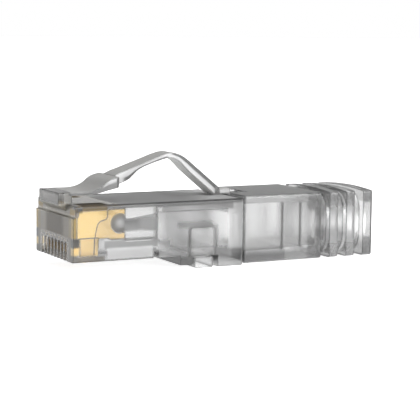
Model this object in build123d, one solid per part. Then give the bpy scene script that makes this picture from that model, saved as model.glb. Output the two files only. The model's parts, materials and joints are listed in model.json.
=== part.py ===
from build123d import *
import os
from math import atan2, cos, degrees, radians, sin

# Modular plug with eight positions, a snag-free arched latch and a ribbed rear boot.
# While the pieces are drawn, X runs from the nose face to the cable end, Y is across, Z is up,
# and Z = 0 is the underside of the nose. The contacts look down and the latch is on top.

# Nose and body of the housing
nose_width = 11.68          # across the plug
nose_height = 6.5           # underside to top of the nose
nose_length = 13.6          # nose face to the step where the body gets deeper
body_length = 21.95         # nose face to the rear face
body_drop = 1.05            # depth of the body below the nose
heel_drop = 1.5             # depth of the rear heel below the nose
heel_length = 3.35          # heel along X
lip_setback = 0.25          # the upper front face stands back this much
lip_height = 5.15           # height where it starts
keel_radius = 0.25          # lower long edges of the nose
edge_radius = 0.2           # other outer edges

# Cable room inside the housing
room_side_gap = 0.235       # beside the outer conductors
room_start = 11.1           # rear face of the wire guide
room_floor = 0.85
room_ceiling = 5.3
headroom = 0.65             # taller, wider space above the rails
headroom_width = 9.3
headroom_end = 21.4
relief_groove = 0.6         # groove across the underside of the nose, along X
relief_groove_at = 10.15
relief_groove_depth = 0.85

# Strain relief bar, moulded with the housing on a thin web
bar_window_start = 15.2
bar_window_width = 10.0     # upper part of the window
bar_notch_top = -0.1        # the lower part runs out through the side walls up to here
bar_length = 2.4            # along X
bar_gap = 0.3               # clear space in front of the bar
bar_side_gap = 0.15
bar_height = 1.85
bar_web = 0.22              # thickness of the web that carries the bar
bar_pocket_depth = 0.35     # side recess in the cable room above the bar
bar_pocket_start = 15.2
bar_pocket_length = 3.4
bar_pocket_top = 3.35
bar_pocket_radius = 0.6

# Contacts
contact_count = 8
contact_pitch = 1.016
contact_thickness = 0.33
coin_depth = 0.03           # the rear wing and the leg are this much thinner on each side
contact_clearance = 0.03
contact_front = 1.0         # front edge of the blade
contact_rear = 6.95         # rear edge of the wing
contact_top = 5.8
contact_foot = 0.45         # lower edge of the leg
blade_bottom = 2.6
wing_bottom = 2.25
leg_front = 1.36
leg_rear = 3.7
score_width = 0.14          # lines pressed into both sides of each blade
score_depth = 0.07
score_step = 2.15           # the upper line stands this far ahead of the wing's rear edge
score_lean = 0.35
score_inset = 0.5           # the lower line stands this far ahead of the rear of the leg
toe_reach = 0.75            # the toe stands out ahead of the leg
toe_bottom = 0.8
toe_top = 1.6
notch_radius = 1.2
wire_level = 4.12           # height of the conductors
comb_slot_width = 0.56
comb_slot_height = 2.15
comb_slot_length = 3.5
wire_bore_radius = 0.44
wire_bore_depth = 1.7

# Wire guide
guide_length = 4.05
guide_side_open = 0.3       # the outer funnels are cut open by this much
guide_bottom = 2.1
guide_top = 5.95
guide_clearance = 0.05
funnel_width = 0.9
throat_height = 1.15
mouth_height = 2.1
throat_length = 0.7

# Latch: front arm, shoulders, arch and tail
latch_width = 6.02          # root and shoulders
beam_width = 3.24           # arch and tail at the shoulders
tail_width = 2.8
ridge_height = 7.82         # top of the root block above the nose underside
ridge_overhang = 0.7        # the root block stands out ahead of the nose face
ridge_rear = 1.0            # rear face of the root block
root_thickness = 0.42
root_clearance = 0.02
shoulder_end = 6.9
shoulder_height = 9.4
arch_top = 11.93
arch_position = 14.5
arch_thickness = 0.7
arch_clearance = 0.02
arch_relief = 2.5           # reach of the cuts that let the arch bend
arm_cut = (-132, 103)       # directions round the top of the arch that the arm leaves free
tail_cut = (55, 225)        # directions that the tail leaves free
tail_knee = 16.7            # where the tail gets its full thickness
tail_thickness = 1.05
tail_angle = 39.6           # slope of the tail to the top of the housing
tail_foot_start = 20.4      # where the underside of the tail meets the foot
tail_foot_end = 22.8
tail_foot_width = 1.6
tail_foot_thickness = 0.65
tail_lift = 0.1             # gap between the tail foot and the top of the housing

# Rear boot
boot_width = 11.0
boot_top = 6.78
boot_bottom = 1.42          # below the nose underside
boot_neck_length = 0.4      # narrow neck against the housing
boot_neck_inset = 0.35
boot_body_length = 11.18    # neck and smooth part
boot_edge = 0.3
rib_gap = 1.27
rib_thickness = 1.17
rib_count = 2
flange_thickness = 1.3
rib_crown = 0.22            # the tops of the ribs rise this much at the middle
core_width = 9.2
core_inset = 0.3            # the core stands this much inside the ribs at top and bottom
core_radius = 2.2
bore_radius = 3.3
bore_level = 2.7
chamber_width = 9.4
chamber_height = 5.8
chamber_level = 2.93
chamber_length = 10.8
chamber_steps = (6.0, 8.55) # places along the chamber where it gets narrower
step_slope = 0.15           # length of each sloping step
step_depth = 0.3            # inwards at each side
step_drop = 0.1             # inwards at top and bottom
spigot_length = 0.8
spigot_wall = 0.65
spigot_clearance = 0.05
channel_length = 2.9        # shallow run in the top for the tail and its foot
channel_side_gap = 0.3


# Shapes drawn in the XZ plane and made solid across the plug
def outline(points):
    return make_face(Polyline(*points, close=True))


def across(sketch, width, y=0.0):
    return Pos(0, y, 0) * extrude(Plane.XZ * sketch, amount=width / 2, both=True)


def block(x0, x1, width, z0, z1):
    return across(outline([(x0, z0), (x1, z0), (x1, z1), (x0, z1)]), width)


def tapered(face, x0, width0, x1, width1):
    # the width changes evenly from one place along X to the other
    widest = max(width0, width1)
    solid = across(face, widest)
    change = (width0 - width1) / 2 / (x1 - x0)
    far = x1 + widest
    for side in (-1, 1):
        trim = make_face(Polyline(
            (x0, side * width0 / 2),
            (far, side * (width0 / 2 - change * (far - x0))),
            (far, side * widest),
            (x0, side * widest),
            close=True,
        ))
        solid = solid - extrude(trim, amount=2 * arch_top)
    return solid


def disc(centre, radius, width):
    return across(Pos(centre[0], centre[1]) * Circle(radius), width)


def sector(centre, radius, first, last):
    steps = 6
    angles = [radians(first + (last - first) * i / steps) for i in range(steps + 1)]
    rim = [(centre[0] + radius * cos(a), centre[1] + radius * sin(a)) for a in angles]
    return outline([centre] + rim)


def edges_at(solid, axis, **place):
    found = solid.edges().filter_by(axis)
    for name, value in place.items():
        found = found.filter_by(lambda e: abs(abs(getattr(e.center(), name)) - abs(value)) < 0.01)
    return found


# Places that follow from the sizes above
half_nose = nose_width / 2
heel_start = body_length - heel_length
root_pivot = (ridge_rear + root_thickness / 5, ridge_height - root_thickness / 2)
arch_pivot = (arch_position, arch_top - arch_thickness / 2)
tail_floor = nose_height + tail_lift
rib_pitch = rib_gap + rib_thickness
ribs_start = body_length + boot_body_length
boot_end = ribs_start + rib_count * rib_pitch + rib_gap + flange_thickness
contact_ys = [contact_pitch * (i - (contact_count - 1) / 2) for i in range(contact_count)]
guide_start = room_start - guide_length
funnels_width = (contact_count - 1) * contact_pitch + funnel_width
guide_width = funnels_width - 2 * guide_side_open
room_width = contact_count * contact_pitch + 2 * room_side_gap


# Contacts
def blade_outline():
    rear = contact_rear
    return outline([
        (contact_front + 0.2, contact_top),
        (rear, contact_top),
        (rear, wing_bottom),
        (leg_rear + 1.6, wing_bottom),
        (leg_rear + 1.2, blade_bottom - 0.1),
        (leg_rear, blade_bottom - 0.1),
        (leg_rear - 0.1, contact_foot),
        (leg_front + 0.15, contact_foot),
        (leg_front - 0.15, toe_bottom),
        (leg_front - toe_reach, toe_bottom),
        (leg_front - toe_reach, toe_top),
        (leg_front, toe_top),
        (leg_front, blade_bottom),
        (contact_front, blade_bottom),
        (contact_front, contact_top - 0.75),
        (contact_front + 0.2, contact_top - 0.6),
    ])


def contact_outline():
    notch = Pos(contact_rear - notch_radius * 0.45, wire_level) * Circle(notch_radius)
    return blade_outline() - notch


def score_path():
    # from the top of the blade, round the wire notch and down the leg
    step = contact_rear - score_step
    inner = leg_rear - score_inset
    return [
        (step, contact_top + 0.1),
        (step, wire_level + 0.85),
        (step - 0.25, wire_level + 0.55),
        (inner + 2 * score_lean, wire_level + 0.4),
        (inner + score_lean, wire_level),
        (inner, blade_bottom),
    ]


def coined_area():
    # the part of the blade that keeps its full thickness
    return outline(score_path() + [
        (contact_front - 0.1, blade_bottom),
        (contact_front - 0.1, contact_top + 0.1),
    ])


def scored_lines():
    inner, foot = score_path()[-1][0], contact_foot + 0.15
    down = trace(Polyline(*score_path(), (inner - 0.1, foot)), score_width)
    level = trace(Line((leg_front, blade_bottom), (leg_rear, blade_bottom)), score_width)
    return down + level


def contact(y):
    half = contact_thickness / 2
    body = across(contact_outline(), contact_thickness - 2 * coin_depth, y)
    body = body + across(contact_outline() & coined_area(), contact_thickness, y)
    for side in (-1, 1):
        body = body - across(scored_lines(), contact_thickness, y + side * (2 * half - score_depth))
    return body


# Housing
def housing_shell():
    rear = body_length
    body = across(outline([
        (0, 0),
        (0, lip_height),
        (lip_setback, lip_height),
        (lip_setback, nose_height),
        (rear, nose_height),
        (rear, -heel_drop),
        (heel_start, -heel_drop),
        (heel_start, -body_drop),
        (nose_length, -body_drop),
        (nose_length, 0),
    ]), nose_width)
    body = fillet(edges_at(body, Axis.X, Y=half_nose, Z=0), keel_radius)
    body = fillet(edges_at(body, Axis.X, Y=half_nose, Z=nose_height), edge_radius)
    body = fillet(edges_at(body, Axis.Z, Y=half_nose, X=rear), edge_radius)
    return body


def root_block():
    drop = ridge_height - nose_height
    front = -ridge_overhang
    bottom = nose_height - 0.15
    shape = across(outline([
        (front, bottom),
        (front, ridge_height),
        (ridge_rear, ridge_height),
        (ridge_rear, nose_height - 0.1),
        (lip_setback + 0.1, nose_height - 0.1),
        (lip_setback + 0.1, nose_height - drop * 0.65),
    ]), latch_width)
    shape = fillet(edges_at(shape, Axis.X, Y=latch_width / 2, Z=ridge_height), edge_radius)
    seat = disc(root_pivot, root_thickness / 2 + root_clearance, latch_width + 1)
    return shape - seat


def cable_room():
    lower = across(outline([
        (room_start - 0.1, guide_bottom - guide_clearance),
        (room_start, guide_bottom - guide_clearance),
        (room_start + 0.8, guide_bottom - 0.6),
        (room_start + 1.7, room_floor + 0.25),
        (room_start + 2.8, room_floor),
        (body_length, room_floor),
        (body_length, room_ceiling),
        (room_start - 0.1, room_ceiling),
    ]), room_width)
    upper = block(room_start - 0.1, headroom_end, headroom_width, room_ceiling,
                  room_ceiling + headroom)
    upper = fillet(edges_at(upper, Axis.Y, X=headroom_end), headroom * 0.45)
    mouth = block(body_length - spigot_length - 0.2, body_length + 1, room_width,
                  room_ceiling - spigot_height() - spigot_clearance, room_ceiling)
    return lower + upper + mouth


def spigot_height():
    return room_ceiling + heel_drop - 1.0 - spigot_clearance


def bar_window():
    inner = across(outline([
        (bar_window_start - 1.0, room_floor + 0.05),
        (bar_window_start, room_floor - 0.85),
        (bar_window_start, -heel_drop - 1),
        (heel_start, -heel_drop - 1),
        (heel_start, room_floor + 0.05),
    ]), bar_window_width)
    notch = block(bar_window_start, heel_start, nose_width + 1, -heel_drop - 1, bar_notch_top)
    return inner + notch


def bar_pockets():
    # a shallow recess in each side wall, with round upper corners
    low = bar_notch_top + 0.3
    pocket = block(bar_pocket_start, bar_pocket_start + bar_pocket_length,
                   room_width + 2 * bar_pocket_depth, low, bar_pocket_top)
    return fillet(edges_at(pocket, Axis.Y, Z=bar_pocket_top), bar_pocket_radius)


def relief_bar():
    start = bar_window_start + bar_gap
    end = start + bar_length
    low = -heel_drop
    top = low + bar_height
    wide = block(start, end, nose_width, low, bar_notch_top - bar_side_gap)
    wide = fillet(edges_at(wide, Axis.Y, Z=low), edge_radius)
    body = across(outline([
        (start, low + 0.5),
        (end, low + 0.5),
        (end, top - 0.5),
        (end - 0.5, top),
        (start + 0.3, top),
        (start, top - 0.3),
    ]), bar_window_width - 2 * bar_side_gap)
    web = block(bar_window_start - 0.6, start + 0.7, bar_window_width - 2 * bar_side_gap,
                top - bar_web, top)
    return wide + body + web


def contact_slot(y):
    grown = offset(blade_outline(), contact_clearance, kind=Kind.INTERSECTION)
    slot = across(grown, contact_thickness + 2 * contact_clearance, y)
    front = across(outline([
        (-1.0, -1.0),
        (comb_slot_length, -1.0),
        (comb_slot_length, contact_foot + 0.1),
        (leg_front, contact_foot + 0.1),
        (leg_front, comb_slot_height),
        (-1.0, comb_slot_height),
    ]), comb_slot_width, y)
    wire = Pos(guide_start, y, wire_level) * Rotation(0, 90, 0) * Cylinder(
        wire_bore_radius, 2 * wire_bore_depth)
    return [slot, front, wire]


def housing():
    body = housing_shell() + root_block()
    body = body - cable_room() - bar_pockets() - bar_window()
    body = body - block(guide_start - guide_clearance, room_start,
                        guide_width + 2 * guide_clearance,
                        guide_bottom - guide_clearance, guide_top + guide_clearance)
    body = body - block(relief_groove_at, relief_groove_at + relief_groove, nose_width + 1,
                        -1, relief_groove_depth)
    for y in contact_ys:
        for tool in contact_slot(y):
            body = body - tool
    return body + relief_bar()


# Wire guide: one funnel for each conductor
def wire_guide():
    body = block(guide_start, room_start, guide_width, guide_bottom, guide_top)
    flare = guide_start + throat_length
    funnel = outline([
        (guide_start - 1, wire_level - throat_height / 2),
        (flare, wire_level - throat_height / 2),
        (room_start, wire_level - mouth_height / 2),
        (room_start + 1, wire_level - mouth_height / 2),
        (room_start + 1, wire_level + mouth_height / 2),
        (room_start, wire_level + mouth_height / 2),
        (flare, wire_level + throat_height / 2),
        (guide_start - 1, wire_level + throat_height / 2),
    ])
    for y in contact_ys:
        body = body - across(funnel, funnel_width, y)
    return body


# Latch arm: hinge root, shoulders and the rise to the top of the arch
def latch_arm():
    x0, z0 = root_pivot
    half = root_thickness / 2
    rise = shoulder_height - ridge_height
    wide = across(outline([
        (x0, z0 + half),
        (x0 + 2.1, z0 + half + 0.02),
        (shoulder_end - 2.3, ridge_height + rise * 0.27),
        (shoulder_end - 1.5, ridge_height + rise * 0.66),
        (shoulder_end - 1.1, ridge_height + rise * 0.84),
        (shoulder_end, shoulder_height),
        (shoulder_end, shoulder_height - rise * 0.8),
        (shoulder_end - 2.65, z0 - half + 0.18),
        (x0 + 1.4, z0 - half + 0.01),
        (x0, z0 - half),
    ]), latch_width)
    wide = wide + disc(root_pivot, half, latch_width)
    x1, z1 = arch_pivot
    arch = arch_thickness / 2
    beam = outline([
        (shoulder_end - 1.2, shoulder_height - rise * 0.75),
        (shoulder_end - 1.0, shoulder_height + 0.05),
        (shoulder_end + 0.25, shoulder_height + 0.18),
        (x1 - 0.75, arch_top - 0.07),
        (x1, arch_top),
        (x1 + arch, z1),
        (x1, z1 - arch),
        (x1 - 0.8, arch_top - arch_thickness - 0.02),
        (x1 - 3.05, arch_top - 1.36),
        (x1 - 4.35, arch_top - 1.91),
        (x1 - 5.65, arch_top - 3.0),
        (shoulder_end + 0.5, shoulder_height - rise * 0.66),
    ])
    beam = tapered(beam, shoulder_end, beam_width, x1, tail_width)
    knuckle = disc(arch_pivot, arch + arch_clearance, beam_width)
    swing = across(sector(arch_pivot, arch_relief, *arm_cut), beam_width)
    return wide + (beam - knuckle - swing)


# Latch tail: the leg that comes down from the arch and the foot that rides on the housing
def latch_tail():
    x1, z1 = arch_pivot
    arch = arch_thickness / 2
    slope = radians(tail_angle)
    down = sin(slope) / cos(slope)
    depth = tail_thickness / cos(slope)
    foot = (tail_foot_start, tail_floor)
    under = foot[1] + (tail_foot_start - tail_knee) * down
    leg = outline([
        (x1, arch_top),
        (x1 + 0.6, arch_top - 0.13),
        (x1 + 1.4, arch_top - 0.35),
        (tail_knee - 0.3, under + depth + 0.3 * down),
        (foot[0] + tail_thickness * sin(slope), foot[1] + tail_thickness * cos(slope)),
        (foot[0] + 0.1, foot[1]),
        foot,
        (tail_knee + 0.1, under - 0.1 * down),
        (tail_knee - 0.15, under + 0.5),
        (x1 + 1.0, z1 - 0.65),
        (x1 + 0.5, z1 - arch - 0.1),
        (x1, z1 - arch),
    ])
    leg = across(leg, tail_width)
    toe = block(foot[0] + 0.05, tail_foot_end, tail_foot_width, tail_floor,
                tail_floor + tail_foot_thickness)
    toe = fillet(edges_at(toe, Axis.Y, X=tail_foot_end), tail_foot_thickness * 0.2)
    swing = across(sector(arch_pivot, arch_relief, *tail_cut), tail_width + 1)
    return (leg - swing) + disc(arch_pivot, arch, tail_width) + toe


# Rear boot
def rib(x0, thickness):
    half = boot_width / 2
    edge = boot_top - 0.05
    crown = boot_top + rib_crown
    top = ThreePointArc((-half, edge), (0, crown), (half, edge))
    base = Polyline((half, edge), (half, -boot_bottom), (-half, -boot_bottom), (-half, edge))
    face = make_face(top + base)
    plate = extrude(Plane.YZ.offset(x0) * face, amount=thickness)
    return fillet(edges_at(plate, Axis.X), boot_edge)


def stepped_edge(start, half, change):
    # one edge of the chamber, which comes inwards at each step
    points = [(start, half)]
    for number, step in enumerate(chamber_steps):
        points.append((start + step - step_slope / 2, half - number * change))
        points.append((start + step + step_slope / 2, half - (number + 1) * change))
    points.append((start + chamber_length, half - len(chamber_steps) * change))
    return points


def mirrored_outline(edge):
    return outline(edge + [(x, -y) for x, y in reversed(edge)])


def chamber(start):
    side = mirrored_outline(stepped_edge(start, chamber_height / 2, step_drop))
    plan = mirrored_outline(stepped_edge(start, chamber_width / 2, step_depth))
    seen_from_side = Pos(0, 0, chamber_level) * across(side, chamber_width)
    seen_from_top = Pos(0, 0, -boot_bottom) * extrude(plan, amount=boot_top + boot_bottom)
    return seen_from_side & seen_from_top


def boot():
    start = body_length
    end = ribs_start
    shoulder = start + boot_neck_length
    body = block(shoulder, end, boot_width, -boot_bottom, boot_top)
    body = fillet(edges_at(body, Axis.X, Y=boot_width / 2), boot_edge)
    body = fillet(body.edges().group_by(Axis.X)[0], edge_radius)
    neck = block(start, shoulder, boot_width - 2 * boot_neck_inset,
                 boot_neck_inset - boot_bottom, boot_top - boot_neck_inset)
    core = block(end, boot_end, core_width, core_inset - boot_bottom, boot_top - core_inset)
    core = fillet(edges_at(core, Axis.X, Y=core_width / 2), core_radius)
    body = body + neck + core
    for i in range(rib_count):
        body = body + rib(end + rib_gap + i * rib_pitch, rib_thickness)
    body = body + rib(boot_end - flange_thickness, flange_thickness)
    spigot_top = room_ceiling - spigot_clearance
    spigot_low = room_ceiling - spigot_height()
    spigot_width = room_width - 2 * spigot_clearance
    body = body + block(start - spigot_length, start, spigot_width, spigot_low, spigot_top)
    inner = block(start - spigot_length - 1, start, spigot_width - 2 * spigot_wall,
                  spigot_low + spigot_wall, spigot_top - spigot_wall)
    bore_start = start + chamber_length
    bore = Pos(boot_end, 0, bore_level) * Rotation(0, 90, 0) * Cylinder(
        bore_radius, 2 * (boot_end - bore_start))
    channel = block(start - 1, start + channel_length, tail_width + 2 * channel_side_gap,
                    nose_height, boot_top + 1)
    return body - inner - chamber(start) - bore - channel


# Write every piece, moved so that the plug stands on Z = 0 and is centred in X
pieces = {
    "plug_housing": housing(),
    "wire_guide": wire_guide(),
    "latch_arm": latch_arm(),
    "latch_tail": latch_tail(),
    "rear_boot": boot(),
}
for number, contact_y in enumerate(contact_ys, start=1):
    pieces[f"contact_{number}"] = contact(contact_y)

place = Pos(-(boot_end - ridge_overhang) / 2, 0, heel_drop)
os.makedirs("parts", exist_ok=True)
for name, piece in pieces.items():
    export_step(place * piece, f"parts/{name}.step")
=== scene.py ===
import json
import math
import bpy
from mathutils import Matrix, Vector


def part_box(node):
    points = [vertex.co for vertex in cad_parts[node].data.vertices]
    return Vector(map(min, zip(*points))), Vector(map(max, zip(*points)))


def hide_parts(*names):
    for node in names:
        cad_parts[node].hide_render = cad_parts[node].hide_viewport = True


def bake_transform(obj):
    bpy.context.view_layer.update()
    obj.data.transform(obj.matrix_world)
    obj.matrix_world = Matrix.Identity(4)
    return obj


bl_info = {
    "name": "Clear Modular Plug",
    "version": (1, 0, 0),
    "blender": (4, 5, 0),
    "location": "3D View > Sidebar > Plug",
    "description": "Finishes a clear modular plug with gold blades and sets it on a pale table",
    "category": "Object",
}

from collections import namedtuple

import bmesh
import bpy
from bpy.props import FloatProperty, FloatVectorProperty, PointerProperty
from mathutils import Matrix, Vector

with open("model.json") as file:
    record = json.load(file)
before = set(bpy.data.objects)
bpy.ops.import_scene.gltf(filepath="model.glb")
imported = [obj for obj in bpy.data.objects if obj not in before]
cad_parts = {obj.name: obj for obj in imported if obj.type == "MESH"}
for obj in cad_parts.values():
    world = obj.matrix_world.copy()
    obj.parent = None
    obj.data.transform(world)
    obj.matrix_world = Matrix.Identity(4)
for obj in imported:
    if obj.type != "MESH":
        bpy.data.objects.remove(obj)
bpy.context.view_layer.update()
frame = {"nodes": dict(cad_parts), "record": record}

MM = 0.001
BLADES = [f"contact_{number}" for number in range(1, 9)]
SECTION_LEVEL = "section_level"

# Places on the plug, in mm: x back from the nose, y out from the middle, z up from the nose's underside
BLADE_SETBACK = 0.61
HEEL_DROP = 1.5
ORIGIN = {
    "X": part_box("contact_1")[0][0] - BLADE_SETBACK * MM,
    "Y": 0.0,
    "Z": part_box("plug_housing")[0][2] + HEEL_DROP * MM,
}


def scene_point(x, y, z):
    """A place on the plug as a point of the scene."""
    return ORIGIN["X"] + x * MM, ORIGIN["Y"] + y * MM, ORIGIN["Z"] + z * MM


def plug_corners(node):
    """Lowest and highest corner of a piece as places on the plug."""
    origin = Vector([ORIGIN[axis] for axis in "XYZ"])
    return [(Vector(corner) - origin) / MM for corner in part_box(node)]


BLADE_LOW, BLADE_HIGH = plug_corners("contact_1")
GUIDE_LOW, GUIDE_HIGH = plug_corners("wire_guide")
HOUSING_LOW, HOUSING_HIGH = plug_corners("plug_housing")
BOOT_LOW, BOOT_HIGH = plug_corners("rear_boot")


# Sizes and colours that a user would change
class PlugPlasticSettings(bpy.types.PropertyGroup):
    clear_colour: FloatVectorProperty(
        name="Clear plastic",
        description="Tint of the clear polycarbonate",
        subtype="COLOR",
        size=3,
        min=0.0,
        max=1.0,
        default=(0.88, 0.88, 0.88),
    )
    # Painted shade: the faces that look up or down are painted darker, besides being rougher and cloudier
    level_shade_colour: FloatVectorProperty(
        name="Level faces",
        description="Tint of the faces that look up or down, which are less polished",
        subtype="COLOR",
        size=3,
        min=0.0,
        max=1.0,
        default=(0.36, 0.36, 0.36),
    )
    # Painted shade: the rounds along the edges are painted dark
    edge_shade_colour: FloatVectorProperty(
        name="Edges",
        description="Tint of the rounds along the edges",
        subtype="COLOR",
        size=3,
        min=0.0,
        max=1.0,
        default=(0.06, 0.06, 0.06),
    )
    smoke_colour: FloatVectorProperty(
        name="Smoke",
        description="Colour that is left after light has crossed a thick wall",
        subtype="COLOR",
        size=3,
        min=0.0,
        max=1.0,
        default=(0.45, 0.46, 0.47),
    )
    smoke_density: FloatProperty(
        name="Smoke density",
        description="How fast a thick wall turns grey, per metre",
        min=0.0,
        default=45.0,
    )
    refraction: FloatProperty(
        name="Refraction",
        description="Index of refraction of the polycarbonate",
        min=1.0,
        max=2.5,
        default=1.58,
    )
    haze: FloatProperty(
        name="Haze",
        description="Roughness of the moulded faces",
        subtype="FACTOR",
        min=0.0,
        max=1.0,
        default=0.12,
    )
    milkiness: FloatProperty(
        name="Milkiness",
        description="Share of the light that the moulded faces scatter",
        subtype="FACTOR",
        min=0.0,
        max=1.0,
        default=0.14,
    )
    soft_edge: FloatProperty(
        name="Soft edge",
        description="Radius of the small round on every moulded edge",
        unit="LENGTH",
        min=0.0,
        default=0.2 * MM,
    )


class PlugMetalSettings(bpy.types.PropertyGroup):
    gold_colour: FloatVectorProperty(
        name="Gold",
        description="Colour of the plated blades",
        subtype="COLOR",
        size=3,
        min=0.0,
        max=1.0,
        default=(0.98, 0.68, 0.16),
    )
    gold_roughness: FloatProperty(
        name="Gold roughness",
        description="Roughness of the plated blades",
        subtype="FACTOR",
        min=0.0,
        max=1.0,
        default=0.38,
    )


class PlugStudioSettings(bpy.types.PropertyGroup):
    floor_colour: FloatVectorProperty(
        name="Table",
        description="Colour of the table top",
        subtype="COLOR",
        size=3,
        min=0.0,
        max=1.0,
        default=(0.9, 0.9, 0.9),
    )
    floor_glow: FloatProperty(
        name="Table glow",
        description="Light that comes up through the table top",
        min=0.0,
        default=0.88,
    )
    floor_size: FloatProperty(
        name="Table size",
        description="Side of the square table top",
        unit="LENGTH",
        min=0.1,
        default=6.0,
    )
    horizon_light: FloatProperty(
        name="Horizon light",
        description="Brightness of the room at the height of the table",
        min=0.0,
        default=1.0,
    )
    room_light: FloatProperty(
        name="Room light",
        description="Brightness of the room above the table",
        min=0.0,
        default=0.2,
    )
    ceiling_light: FloatProperty(
        name="Ceiling light",
        description="Brightness of the large light overhead",
        min=0.0,
        default=1.2,
    )
    front_power: FloatProperty(
        name="Front softbox power",
        description="Power of the softbox beside the camera",
        unit="POWER",
        min=0.0,
        default=17.0,
    )
    lens: FloatProperty(
        name="Lens",
        description="Focal length of the camera, in millimetres",
        unit="CAMERA",
        min=1.0,
        default=129.37,
    )
    camera_turn: FloatProperty(
        name="Camera turn",
        description="Angle of the camera round the plug, from square on to its side towards the nose",
        unit="ROTATION",
        default=math.radians(27.456),
    )
    camera_height: FloatProperty(
        name="Camera height",
        description="Angle of the camera above the table",
        unit="ROTATION",
        default=math.radians(6.938),
    )
    camera_roll: FloatProperty(
        name="Camera roll",
        description="Turn of the camera about its own axis",
        unit="ROTATION",
        default=math.radians(0.605),
    )
    camera_distance: FloatProperty(
        name="Camera distance",
        description="Distance from the camera to the point it looks at",
        unit="LENGTH",
        min=0.01,
        default=0.18558,
    )
    camera_target: FloatVectorProperty(
        name="Camera target",
        description="Point that the camera looks at",
        subtype="XYZ",
        unit="LENGTH",
        size=3,
        default=(0.00055, 0.0, 0.006052),
    )


# Node helpers
def new_material(name):
    material = bpy.data.materials.new(name)
    material.use_nodes = True
    nodes = material.node_tree.nodes
    nodes.clear()
    output = nodes.new("ShaderNodeOutputMaterial")
    shader = nodes.new("ShaderNodeBsdfPrincipled")
    material.node_tree.links.new(shader.outputs["BSDF"], output.inputs["Surface"])
    return material, shader


def object_place(material):
    return material.node_tree.nodes.new("ShaderNodeTexCoord").outputs["Object"]


def face_normal(material):
    return material.node_tree.nodes.new("ShaderNodeNewGeometry").outputs["True Normal"]


def opaque(tint):
    """A tint as a node's colour. A tint is red, green and blue, or one number for a grey."""
    return (tint, tint, tint, 1.0) if isinstance(tint, float) else (*tint, 1.0)


def feed(material, socket, value):
    """Link an input to a socket, or give it a value of its own."""
    if isinstance(value, bpy.types.NodeSocket):
        material.node_tree.links.new(value, socket)
    else:
        socket.default_value = value


def mix(material, kind, factor, first, second, label=""):
    """Goes from the first input, where the factor is 0, to the second, where it is 1."""
    node = material.node_tree.nodes.new("ShaderNodeMix")
    node.data_type = kind
    node.label = label
    material.node_tree.links.new(factor, node.inputs["Factor"])
    feed(material, node.inputs["A"], first)
    feed(material, node.inputs["B"], second)
    return node.outputs["Result"]


def noise(material, place, scale, detail, stretch=(1.0, 1.0, 1.0)):
    tree = material.node_tree
    mapping = tree.nodes.new("ShaderNodeMapping")
    mapping.inputs["Scale"].default_value = stretch
    tree.links.new(place, mapping.inputs["Vector"])
    texture = tree.nodes.new("ShaderNodeTexNoise")
    texture.inputs["Scale"].default_value = scale
    texture.inputs["Detail"].default_value = detail
    tree.links.new(mapping.outputs["Vector"], texture.inputs["Vector"])
    return texture.outputs["Fac"]


def ramp(material, value, low, high, low_tint, high_tint):
    node = material.node_tree.nodes.new("ShaderNodeValToRGB")
    node.color_ramp.elements[0].position = low
    node.color_ramp.elements[1].position = high
    node.color_ramp.elements[0].color = opaque(low_tint)
    node.color_ramp.elements[1].color = opaque(high_tint)
    material.node_tree.links.new(value, node.inputs["Fac"])
    return node.outputs["Color"]


def remap(material, value, start, end, low=0.0, high=1.0, smooth=False):
    """Goes from low, where the value is start, to high, where it is end, and stays there beyond them."""
    node = material.node_tree.nodes.new("ShaderNodeMapRange")
    if smooth:
        node.interpolation_type = "SMOOTHSTEP"
    node.inputs["From Min"].default_value = start
    node.inputs["From Max"].default_value = end
    node.inputs["To Min"].default_value = low
    node.inputs["To Max"].default_value = high
    material.node_tree.links.new(value, node.inputs["Value"])
    return node.outputs["Result"]


def calculate(material, operation, first, second=None):
    node = material.node_tree.nodes.new("ShaderNodeMath")
    node.operation = operation
    material.node_tree.links.new(first, node.inputs[0])
    if second is not None:
        feed(material, node.inputs[1], second)
    return node.outputs["Value"]


def measure(material, operation, first, second=None):
    """A number worked out from vectors, such as a length."""
    node = material.node_tree.nodes.new("ShaderNodeVectorMath")
    node.operation = operation
    material.node_tree.links.new(first, node.inputs[0])
    if second is not None:
        material.node_tree.links.new(second, node.inputs[1])
    return node.outputs["Value"]


def component(material, vector, axis):
    node = material.node_tree.nodes.new("ShaderNodeSeparateXYZ")
    material.node_tree.links.new(vector, node.inputs["Vector"])
    return node.outputs[axis]


def distance_from_line(material, place, point, along):
    """Distance from the line that runs along one axis through a point of the scene."""
    across = [0.0 if axis == along else 1.0 for axis in "XYZ"]
    node = material.node_tree.nodes.new("ShaderNodeMapping")
    node.inputs["Location"].default_value = [-number * kept for number, kept in zip(point, across)]
    node.inputs["Scale"].default_value = across
    material.node_tree.links.new(place, node.inputs["Vector"])
    return measure(material, "LENGTH", node.outputs["Vector"])


def soft_edges(material, radius):
    node = material.node_tree.nodes.new("ShaderNodeBevel")
    node.samples = 4
    node.inputs["Radius"].default_value = radius
    return node.outputs["Normal"]


def bump(material, height, strength, distance, normal=None):
    tree = material.node_tree
    node = tree.nodes.new("ShaderNodeBump")
    if normal is not None:
        tree.links.new(normal, node.inputs["Normal"])
    node.inputs["Strength"].default_value = strength
    node.inputs["Distance"].default_value = distance
    tree.links.new(height, node.inputs["Height"])
    return node.outputs["Normal"]


# Masks: each takes a material and the socket of its object coordinates, and goes from 0 to 1
def slope(axis, start, end):
    """Goes from 0 at start to 1 at end along an axis, in mm. Y counts out from the middle, both ways."""
    def mask(material, place):
        value = component(material, place, axis)
        if axis == "Y":
            value = calculate(material, "ABSOLUTE", value)
        return remap(material, value, ORIGIN[axis] + start * MM, ORIGIN[axis] + end * MM, smooth=True)
    return mask


def overlap(*masks):
    """The region that all the masks share."""
    def mask(material, place):
        shared, *others = [part(material, place) for part in masks]
        for other in others:
            shared = calculate(material, "MULTIPLY", shared, other)
        return shared
    return mask


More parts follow.
